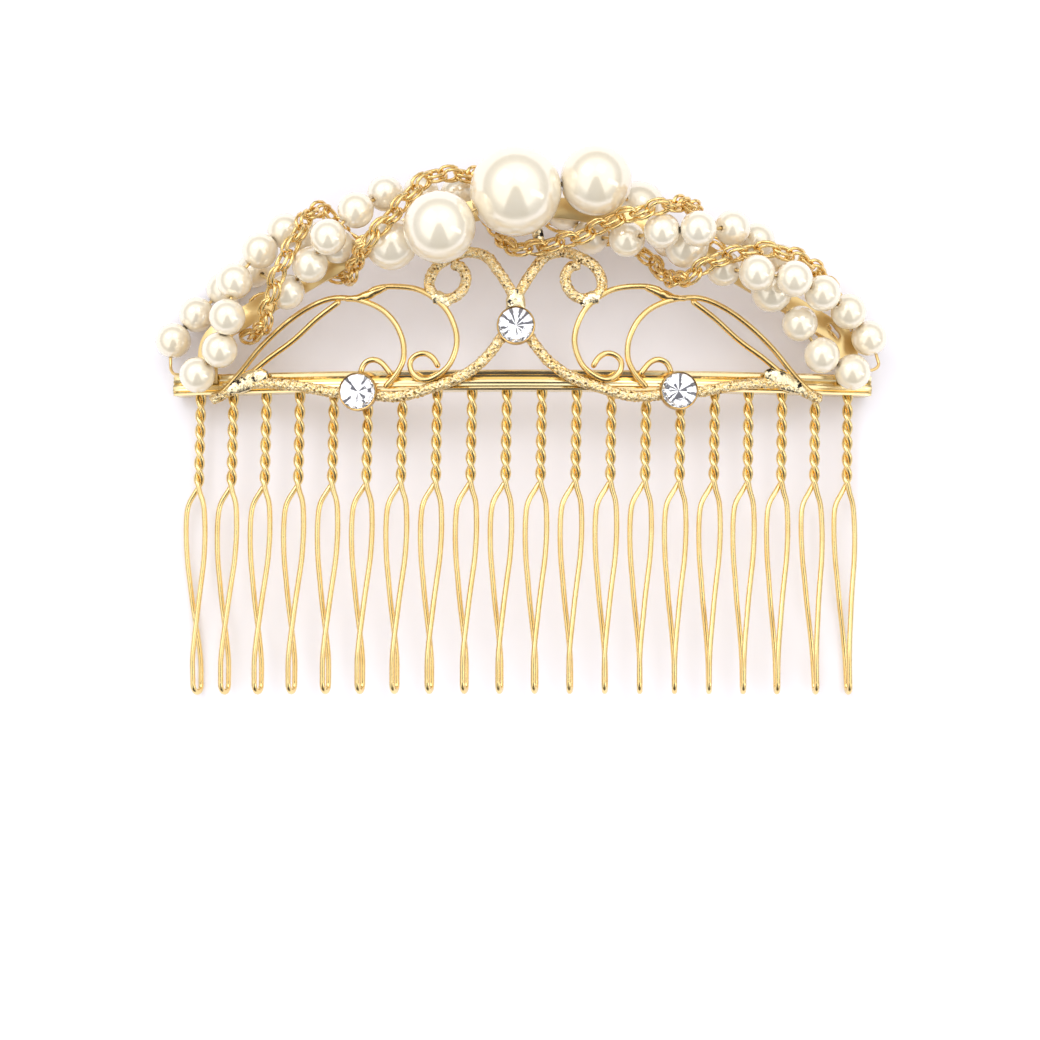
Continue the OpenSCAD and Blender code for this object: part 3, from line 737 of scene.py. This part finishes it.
class COMB_OT_bar(bpy.types.Operator):
    """Bows a folded channel that holds the tops of the teeth"""

    bl_idname = "comb.bar"
    bl_label = "Folded bar"

    steps = 96
    edge = 0.05

    def execute(self, context):
        bm = bmesh.new()
        half = BAR_HALF / BOW_R
        face = profile_face(bm, [(0.0, v, BOW_R + w) for w, v in BAR_SECTION])
        axis = (0.0, 1.0, 0.0)
        bmesh.ops.rotate(bm, verts=bm.verts, cent=(0, 0, 0), matrix=Matrix.Rotation(-half, 3, "Y"))
        bmesh.ops.spin(
            bm, geom=[face], cent=(0, 0, 0), axis=axis, dvec=(0, 0, 0), angle=2 * half, steps=self.steps
        )
        bmesh.ops.remove_doubles(bm, verts=bm.verts, dist=0.001)
        bmesh.ops.recalc_face_normals(bm, faces=bm.faces)
        corners = [e for e in bm.edges if len(e.link_faces) == 2 and e.calc_face_angle() > math.radians(20)]
        bmesh.ops.bevel(
            bm, geom=corners, offset=self.edge, offset_type="OFFSET", segments=2, profile=0.5,
            affect="EDGES", material=-1, clamp_overlap=True,
        )
        bar = Gather()
        bar.add(bm, Matrix.Translation((0, 0, -BOW_R)))
        bar.finish("folded_bar", "gilt_sheet", gilt_sheet(context.scene.comb_colours), ["comb_bar"], 35)
        return {"FINISHED"}


class COMB_OT_arch(bpy.types.Operator):
    """Takes the arched band from the frame and softens its edges"""

    bl_idname = "comb.arch"
    bl_label = "Arched band"

    edge = 0.1

    def execute(self, context):
        bm = bmesh.new()
        bm.from_mesh(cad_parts["arch_band"].data)
        bmesh.ops.transform(bm, matrix=SEAT.inverted(), verts=bm.verts)
        bmesh.ops.remove_doubles(bm, verts=bm.verts, dist=0.002)
        bmesh.ops.dissolve_degenerate(bm, dist=0.002, edges=bm.edges)
        corners = [e for e in bm.edges if len(e.link_faces) == 2 and e.calc_face_angle() > math.radians(40)]
        bmesh.ops.bevel(
            bm, geom=corners, offset=self.edge, offset_type="OFFSET", segments=2, profile=0.5,
            affect="EDGES", material=-1, clamp_overlap=True,
        )
        band = Gather()
        band.add(bm)
        material = bpy.data.materials.get("gilt_sheet") or gilt_sheet(context.scene.comb_colours)
        band.finish("arched_band", "gilt_sheet", material, ["arch_band"], 35)
        return {"FINISHED"}


class COMB_OT_filigree(bpy.types.Operator):
    """Lays the hammered strips, the plain scrolls, the solder plates and the cups"""

    bl_idname = "comb.filigree"
    bl_label = "Filigree"

    strip_step = 0.11
    strip_sides = 20
    pit_share = 0.42
    plate_t = 0.8
    plate_flow = 0.07
    plate_sides = 24
    wire_step = 0.35
    wire_sides = 12
    cup_steps = 64
    cup_reach = 2.0
    under_cup = 0.15
    # Section of a cup: radius and height
    cup_section = (
        (0.0, 0.0),
        (1.95, 0.0),
        (2.08, 0.1),
        (2.12, 0.3),
        (2.12, 1.12),
        (2.06, 1.2),
        (1.98, 1.18),
        (1.96, 1.05),
        (1.96, 0.3),
        (0.0, 0.3),
    )

    def laid(self, places, side):
        w = LACE_LIFT + LACE_T / 2
        return curve([(LACE_U + side * place[0], place[1], w) for place in places], 8)

    def stroke(self, places, side, width, spacing, sides):
        line = evenly([on_bow(p) for p in self.laid(places, side)], spacing)
        points, radii = round_ended(line, LACE_T / 2)
        return sweep(points, radii, sides, on_sheet=True, flat=width / LACE_T)

    def plate(self, places, side):
        """A flowed piece of solder, whose width follows its rows."""
        points = [on_bow(p) for p in self.laid(places, side)]
        widths = [row[0] for row in curve([(place[2], 0, 0) for place in places], 8)]
        bm = sweep(points, [1.0] * len(points), self.plate_sides, on_sheet=True)
        flow = [
            place @ Matrix.Diagonal((self.plate_t / 2, width / 2, 1.0, 1.0))
            for place, width in zip(ring_frames(points, (0, 0, 1), True, False), widths)
        ]
        rings = ring_frames(points, (0, 0, 1), True, False)
        bm.verts.ensure_lookup_table()
        for number, (ring, full) in enumerate(zip(rings, flow)):
            verts = bm.verts[number * self.plate_sides : (number + 1) * self.plate_sides]
            bmesh.ops.transform(bm, matrix=full @ ring.inverted(), verts=verts)
        return self.dent(bm, self.plate_flow)

    def dent(self, bm, depth):
        """Soft, uneven flow marks."""
        bm.normal_update()
        for vert in bm.verts:
            vert.co -= vert.normal * depth * (0.5 + noise.noise(vert.co * 1.6))
        return bm

    def pit(self, bm, depth):
        """Hammer marks: small pits over a crumpled face."""
        bm.normal_update()
        for vert in bm.verts:
            spot = noise.voronoi(vert.co * 2.1)[0][0]
            rough = noise.noise(vert.co * 3.6)
            pit = max(0.0, self.pit_share - spot) / self.pit_share
            vert.co -= vert.normal * depth * (0.25 + pit - 0.55 * rough)
        return bm

    def under_cups(self, bm):
        """Keeps the metal that passes a cup inside the cup's floor."""
        for u, v in STONES.values():
            seat = at_bow(u, v, LACE_LIFT)
            back = seat.inverted()
            for vert in bm.verts:
                spot = back @ vert.co
                if math.hypot(spot.x, spot.y) < self.cup_reach and spot.z > self.under_cup:
                    vert.co = seat @ Vector((spot.x, spot.y, self.under_cup))
        return bm

    def cup(self, place):
        bm = bmesh.new()
        rows = [bmesh.ops.create_vert(bm, co=(r, 0.0, z))["vert"][0] for r, z in self.cup_section]
        edges = [bm.edges.new(pair) for pair in zip(rows, rows[1:])]
        bmesh.ops.spin(
            bm, geom=rows + edges, cent=(0, 0, 0), axis=(0, 0, 1), dvec=(0, 0, 0),
            angle=2 * math.pi, steps=self.cup_steps, use_merge=True,
        )
        bmesh.ops.remove_doubles(bm, verts=bm.verts, dist=0.001)
        bmesh.ops.transform(bm, matrix=at_bow(place[0], place[1], LACE_LIFT), verts=bm.verts)
        return bm

    def execute(self, context):
        colours = context.scene.comb_colours
        depth = context.scene.comb_sizes.relief / MM
        hammered = gilt_hammered(colours)
        cast = gilt_cast(colours)
        strips = Gather()
        wires = Gather()
        plates = Gather()
        for side in (-1, 1):
            for places in STRIPS:
                strips.add(self.pit(self.stroke(places, side, STRIP_W, self.strip_step, self.strip_sides), depth))
            for places in WIRES:
                wires.add(self.stroke(places, side, WIRE_W, self.wire_step, self.wire_sides))
            for places in WEBS:
                wires.add(self.plate(places, side))
            for places in PLATES:
                plates.add(self.plate(places, side))
        plates.add(self.plate(LACE_POST, 1))
        plates.add(self.pit(self.stroke(LACE_TO_ARCH, 1, STRIP_W, self.strip_step, self.strip_sides), depth))
        cups = Gather()
        for place in STONES.values():
            cups.add(self.cup(place))
        for metal in (strips, wires, plates):
            self.under_cups(metal.bm)
        strips.finish("hammered_strips", "gilt_casting", hammered, ["filigree"])
        wires.finish("scroll_wires", "gilt_casting", cast, ["filigree"])
        plates.finish("solder_plates", "gilt_casting", gilt_solder(colours), ["filigree"])
        cups.finish("stone_cups", "gilt_casting", cup_metal(colours), ["filigree"], 40)
        return {"FINISHED"}


class COMB_OT_stones(bpy.types.Operator):
    """Cuts three clear stones and sets each in its cup over a foil"""

    bl_idname = "comb.stones"
    bl_label = "Clear stones"

    radius = 1.93
    cup_floor = 0.3
    rise = 0.05
    pavilion = 0.75
    # Rows of corners of a stone: number, share of the radius, height over the girdle and turn in sixteenths
    cut = (
        (8, 0.56, 0.74, 0),
        (8, 0.80, 0.50, 1),
        (16, 1.0, 0.12, 1),
        (16, 1.0, 0.0, 1),
        (8, 0.62, -0.38, 0),
        (8, 0.10, -0.75, 1),
    )
    # The foil's fan: wedges, inner and outer radius as shares, and heights of its middle and its rim
    fan = (30, 0.04, 0.97, -0.73, -0.1)
    # Share of the foil's wedges painted dark, as painted dark reflections.
    dark_share = 0.26

    def corners(self, bm, rows, grow):
        verts = []
        for count, share, height, turn in rows:
            place = Matrix.Translation((0, 0, height - grow)) @ Matrix.Rotation(math.pi * turn / 8, 4, "Z")
            made = bmesh.ops.create_circle(bm, segments=count, radius=self.radius * share, matrix=place)
            verts += made["verts"]
        return verts

    def foil(self, draws):
        """A cone of narrow wedges, each painted bright or dark as a reflection."""
        count, inner, outer, low, high = self.fan
        bm = bmesh.new()
        painted_reflection = bm.faces.layers.float.new(FACET)
        middle = bmesh.ops.create_circle(
            bm, segments=count, radius=self.radius * inner, matrix=Matrix.Translation((0, 0, low)), cap_ends=True
        )
        edges = list({edge for vert in middle["verts"] for edge in vert.link_edges})
        for reach in (0.45, 1.0):
            grown = bmesh.ops.extrude_edge_only(bm, edges=edges)["geom"]
            verts = [item for item in grown if isinstance(item, bmesh.types.BMVert)]
            edges = [item for item in grown if isinstance(item, bmesh.types.BMEdge) and item.is_boundary]
            share = inner + (outer - inner) * reach
            height = low + (high - low) * reach
            for vert in verts:
                flat = Vector((vert.co.x, vert.co.y, 0.0)).normalized() * self.radius * share
                vert.co = (flat.x, flat.y, height)
        for face in bm.faces:
            # Painted reflection: each wedge is marked bright or dark.
            face[painted_reflection] = 0.0 if draws.random() < self.dark_share else 1.0
        return bm

    def execute(self, context):
        glass = clear_stone()
        foil = stone_foil()
        draws = random.Random(7)
        for name, (u, v) in STONES.items():
            seat = at_bow(u, v, LACE_LIFT + self.cup_floor + self.rise + self.pavilion)
            bm = bmesh.new()
            bmesh.ops.convex_hull(bm, input=self.corners(bm, self.cut, 0.0))
            bmesh.ops.dissolve_limit(bm, angle_limit=math.radians(1), verts=bm.verts, edges=bm.edges)
            stone = Gather()
            stone.add(bm, seat)
            stone.finish(f"cut_stone_{name}", "clear_stone", glass, [f"stone_{name}"], 1)
            bm = self.foil(draws)
            backing = Gather()
            backing.add(bm, seat)
            backing.finish(f"stone_foil_{name}", "clear_stone", foil, [f"stone_{name}"], 1)
        return {"FINISHED"}


class COMB_OT_pearls(bpy.types.Operator):
    """Drills and strings the pearls of both strings"""

    bl_idname = "comb.pearls"
    bl_label = "Pearls"

    small_round = 32
    large_round = 64

    def drilled(self, segments, mouth):
        """A ball of radius 1 whose two poles are opened and turned in."""
        bm = bmesh.new()
        bmesh.ops.create_uvsphere(bm, u_segments=segments, v_segments=segments // 2, radius=1.0)
        poles = [v for v in bm.verts if abs(v.co.z) > 0.9999]
        bmesh.ops.delete(bm, geom=poles, context="VERTS")
        for side in (-1, 1):
            edges = [e for e in bm.edges if e.is_boundary and e.verts[0].co.z * side > 0]
            rim = list({v for e in edges for v in e.verts})
            share = mouth / math.hypot(rim[0].co.x, rim[0].co.y)
            bmesh.ops.scale(bm, vec=(share, share, 1.0), verts=rim)
            lift = side * math.sqrt(1 - mouth**2) - rim[0].co.z
            bmesh.ops.translate(bm, vec=(0, 0, lift), verts=rim)
            for inward, narrower in ((0.04, 0.86), (0.25, 0.95)):
                grown = bmesh.ops.extrude_edge_only(bm, edges=edges)["geom"]
                verts = [item for item in grown if isinstance(item, bmesh.types.BMVert)]
                edges = [item for item in grown if isinstance(item, bmesh.types.BMEdge) and item.is_boundary]
                bmesh.ops.scale(bm, vec=(narrower, narrower, 1.0), verts=verts)
                bmesh.ops.translate(bm, vec=(0, 0, -side * inward), verts=verts)
        return bm

    def pearl(self, i, mouth, coat):
        middle = on_bow(RUN[i])
        radius = RUN[i][3] / 2 + coat
        ahead = (on_bow(RUN[(i + 1) % len(RUN)]) - middle).normalized()
        back = (on_bow(RUN[i - 1]) - middle).normalized()
        along = (ahead - back).normalized()
        side = ahead + back
        if side.length < 0.02:
            side = along.orthogonal()
        side = (side - side.dot(along) * along).normalized()
        bend = math.pi / 2 - math.acos(max(-1.0, min(1.0, ahead.dot(side))))
        bm = self.drilled(self.large_round if i in LARGE else self.small_round, mouth / radius)
        for vert in bm.verts:
            vert.co.rotate(Matrix.Rotation(bend * max(-1.0, min(1.0, vert.co.z)), 3, "Y"))
        turn = Matrix((side, along.cross(side), along)).transposed().to_4x4()
        bmesh.ops.transform(
            bm, matrix=Matrix.Translation(middle) @ turn @ Matrix.Scale(radius, 4), verts=bm.verts
        )
        return bm

    def execute(self, context):
        sizes = (context.scene.comb_sizes.pearl_hole / MM, context.scene.comb_sizes.pearl_coat / MM)
        finish = pearl_coat(context.scene.comb_colours)
        outer = Gather()
        for i in range(len(OUTER)):
            if i in LARGE:
                single = Gather()
                single.add(self.pearl(i, *sizes))
                single.finish(f"big_pearl_{LARGE[i]}", "pearl", finish, [f"large_pearl_{LARGE[i]}"])
            elif OUTER[i][3] > 0:
                outer.add(self.pearl(i, *sizes))
        outer.finish("outer_pearls", "pearl", finish, ["pearl_string_outer"])
        inner = Gather()
        for i in range(len(INNER)):
            inner.add(self.pearl(FIRST_INNER + i, *sizes))
        inner.finish("inner_pearls", "pearl", finish, ["pearl_string_inner"])
        return {"FINISHED"}


class COMB_OT_string_wire(bpy.types.Operator):
    """Runs the gilt wire through the pearls, with its free loops at the ends"""

    bl_idname = "comb.string_wire"
    bl_label = "String wire"

    sides = 10
    loop_steps = 6
    ends_apart = 0.9

    def execute(self, context):
        radius = context.scene.comb_sizes.string_wire / MM
        count = len(RUN)
        order = [on_bow(RUN[(FIRST_INNER + k) % count]) for k in range(count)]
        order.append(order[0] + self.ends_apart * (order[-1] - order[0]).normalized())
        smooth = curve(order, self.loop_steps)
        line = []
        for k in range(count):
            loop = {(FIRST_INNER + k) % count, (FIRST_INNER + k + 1) % count}
            free = loop & set(range(len(OUTER), FIRST_INNER)) or max(loop) >= FIRST_INNER + len(INNER)
            steps = range(self.loop_steps) if free else (0,)
            line += [smooth[k * self.loop_steps + s] for s in steps]
        line.append(order[-1])
        wire = Gather()
        wire.add(sweep(line, [radius] * len(line), self.sides))
        material = bpy.data.materials.get("gilt_wire") or gilt_wire(context.scene.comb_colours)
        wire.finish("pearl_wire", "gilt_wire", material, ["string_wire"])
        return {"FINISHED"}


class COMB_OT_chains(bpy.types.Operator):
    """Links two chains of paired oval rings and winds them round the pearls"""

    bl_idname = "comb.chains"
    bl_label = "Paired-link chains"

    sides = 6
    bend_steps = 5
    reach = 0.9
    roll = 45
    apart = 0.2
    spread = 9
    stagger = 0.16

    def link(self, width, radius):
        bend = width / 2 - radius
        straight = (LINK_LENGTH - width) / 2
        line = []
        for side in (1, -1):
            for k in range(self.bend_steps + 1):
                a = math.radians(-90 + 180 * k / self.bend_steps)
                line.append(Vector((side * (straight + bend * math.cos(a)), side * bend * math.sin(a), 0.0)))
        mesh = bpy.data.meshes.new("link")
        bm = sweep(line, [radius] * len(line), self.sides, closed=True)
        bm.to_mesh(mesh)
        bm.free()
        return mesh

    def execute(self, context):
        sizes = context.scene.comb_sizes
        material = gilt_chain(context.scene.comb_colours)
        link = self.link(sizes.link_width / MM, sizes.link_wire / MM)
        for name, route in (("outer", ROUTE_OUTER), ("inner", ROUTE_INNER)):
            line = [on_bow(p) for p in curve(route, 6)]
            lengths = running(line)
            free = lengths[-1] - LINK_LENGTH
            last = math.floor(free / LINK_STEP)
            chain = Gather()
            for i in range(last + 1):
                middle = LINK_LENGTH / 2 + i * free / last
                ahead = at_length(line, lengths, middle + self.reach)
                way = (ahead - at_length(line, lengths, middle - self.reach)).normalized()
                place = (
                    Matrix.Translation(at_length(line, lengths, middle))
                    @ Matrix.Rotation(math.atan2(way.y, way.x), 4, "Z")
                    @ Matrix.Rotation(-math.asin(way.z), 4, "Y")
                    @ Matrix.Rotation(math.radians(self.roll + 90 * (i % 2)), 4, "X")
                )
                for side in (-1, 1):
                    pair = Matrix.Translation((side * self.stagger, 0, side * self.apart)) @ Matrix.Rotation(
                        math.radians(side * self.spread), 4, "X"
                    )
                    chain.add(link, place @ pair)
            chain.finish(f"{name}_chain_links", "gilt_chain", material, [f"chain_{name}"])
        return {"FINISHED"}


class COMB_OT_stage(bpy.types.Operator):
    """Sets the plain floor, the soft lights and the camera over the comb"""

    bl_idname = "comb.stage"
    bl_label = "Plain stage"

    # Soft lights: place, width, depth and power
    lights = (
        ((-0.45, 0.40, 0.80), 0.45, 0.45, 1.6),
        ((0.25, 0.45, 0.90), 0.35, 0.35, 0.8),
        ((0.75, -0.20, 0.45), 0.15, 0.60, 0.5),
    )
    # Brightness of the room by height: sine of the elevation, and a share of full white
    room = ((0.0, 0.40), (0.18, 0.24), (0.42, 0.42), (0.58, 1.0), (1.0, 1.0))
    room_light = 1.26
    # Corners of the grey card that the pearls mirror below their middles
    card = (
        (-0.045, 0.02, 0.42),
        (0.045, 0.02, 0.42),
        (0.22, -0.40, 0.07),
        (-0.22, -0.40, 0.07),
    )
    camera_place = (-0.27, -6.45, 340.0)
    camera_tilt = 4.3
    camera_lens = 107.3

    def plain(self, name, bm, tint, rough):
        mesh = bpy.data.meshes.new(name)
        bm.to_mesh(mesh)
        bm.free()
        shade = Shade(name)
        mesh.materials.append(shade.surface(Base_Color=tint, Roughness=rough))
        made = bpy.data.objects.new(name, mesh)
        bpy.context.scene.collection.objects.link(made)
        return made

    def execute(self, context):
        scene = context.scene
        bm = bmesh.new()
        bmesh.ops.create_grid(bm, x_segments=1, y_segments=1, size=3.0)
        self.plain("floor", bm, rgba(scene.comb_colours.floor), 0.75)

        bm = bmesh.new()
        profile_face(bm, self.card)
        card = self.plain("grey_card", bm, (0.05, 0.045, 0.045, 1.0), 0.8)
        card.visible_camera = False
        card.visible_shadow = False
        card.visible_diffuse = False

        for number, (place, width, depth, power) in enumerate(self.lights, 1):
            lamp = bpy.data.lights.new(f"soft_light_{number}", "AREA")
            lamp.shape = "RECTANGLE"
            lamp.size = width
            lamp.size_y = depth
            lamp.energy = power
            held = bpy.data.objects.new(lamp.name, lamp)
            held.location = place
            held.rotation_euler = (-Vector(place)).to_track_quat("-Z", "Y").to_euler()
            held.visible_camera = False
            scene.collection.objects.link(held)

        world = bpy.data.worlds.new("soft_room")
        world.use_nodes = True
        nodes = world.node_tree.nodes
        links = world.node_tree.links
        backdrop = nodes["Background"]
        backdrop.inputs["Strength"].default_value = self.room_light
        way = nodes.new("ShaderNodeTexCoord")
        parts = nodes.new("ShaderNodeSeparateXYZ")
        fade = nodes.new("ShaderNodeValToRGB")
        set_stops(fade.color_ramp, self.room)
        links.new(way.outputs["Generated"], parts.inputs[0])
        links.new(parts.outputs["Z"], fade.inputs["Fac"])
        links.new(fade.outputs["Color"], backdrop.inputs["Color"])
        scene.world = world

        view = bpy.data.cameras.new("photo_view")
        view.lens = self.camera_lens
        view.sensor_width = 36.0
        view.clip_start = 0.01
        camera = bpy.data.objects.new("photo_view", view)
        camera.location = SEAT @ Vector(self.camera_place)
        camera.rotation_euler = (math.radians(self.camera_tilt) + REST_TILT, 0.0, 0.0)
        scene.collection.objects.link(camera)
        scene.camera = camera
        scene.view_settings.view_transform = "Standard"
        return {"FINISHED"}


class COMB_PT_panel(bpy.types.Panel):
    """The comb's sizes, colours and pieces"""

    bl_label = "Chain hair comb"
    bl_idname = "COMB_PT_panel"
    bl_space_type = "VIEW_3D"
    bl_region_type = "UI"
    bl_category = "Comb"

    def draw(self, context):
        for group in (context.scene.comb_sizes, context.scene.comb_colours):
            box = self.layout.box()
            for name in group.bl_rna.properties.keys():
                if name not in ("rna_type", "name"):
                    box.prop(group, name)
        for kind in PIECES:
            self.layout.operator(kind.bl_idname)


PIECES = (
    COMB_OT_teeth,
    COMB_OT_bar,
    COMB_OT_arch,
    COMB_OT_filigree,
    COMB_OT_stones,
    COMB_OT_pearls,
    COMB_OT_string_wire,
    COMB_OT_chains,
    COMB_OT_stage,
)
CLASSES = (CombSizes, CombColours) + PIECES + (COMB_PT_panel,)


def register():
    for kind in CLASSES:
        bpy.utils.register_class(kind)
    bpy.types.Scene.comb_sizes = bpy.props.PointerProperty(type=CombSizes)
    bpy.types.Scene.comb_colours = bpy.props.PointerProperty(type=CombColours)


def unregister():
    del bpy.types.Scene.comb_colours
    del bpy.types.Scene.comb_sizes
    for kind in reversed(CLASSES):
        bpy.utils.unregister_class(kind)


def main():
    register()
    bpy.ops.comb.teeth()
    bpy.ops.comb.bar()
    bpy.ops.comb.arch()
    bpy.ops.comb.filigree()
    bpy.ops.comb.stones()
    bpy.ops.comb.pearls()
    bpy.ops.comb.string_wire()
    bpy.ops.comb.chains()
    bpy.ops.comb.stage()


if __name__ == "__main__":
    main()
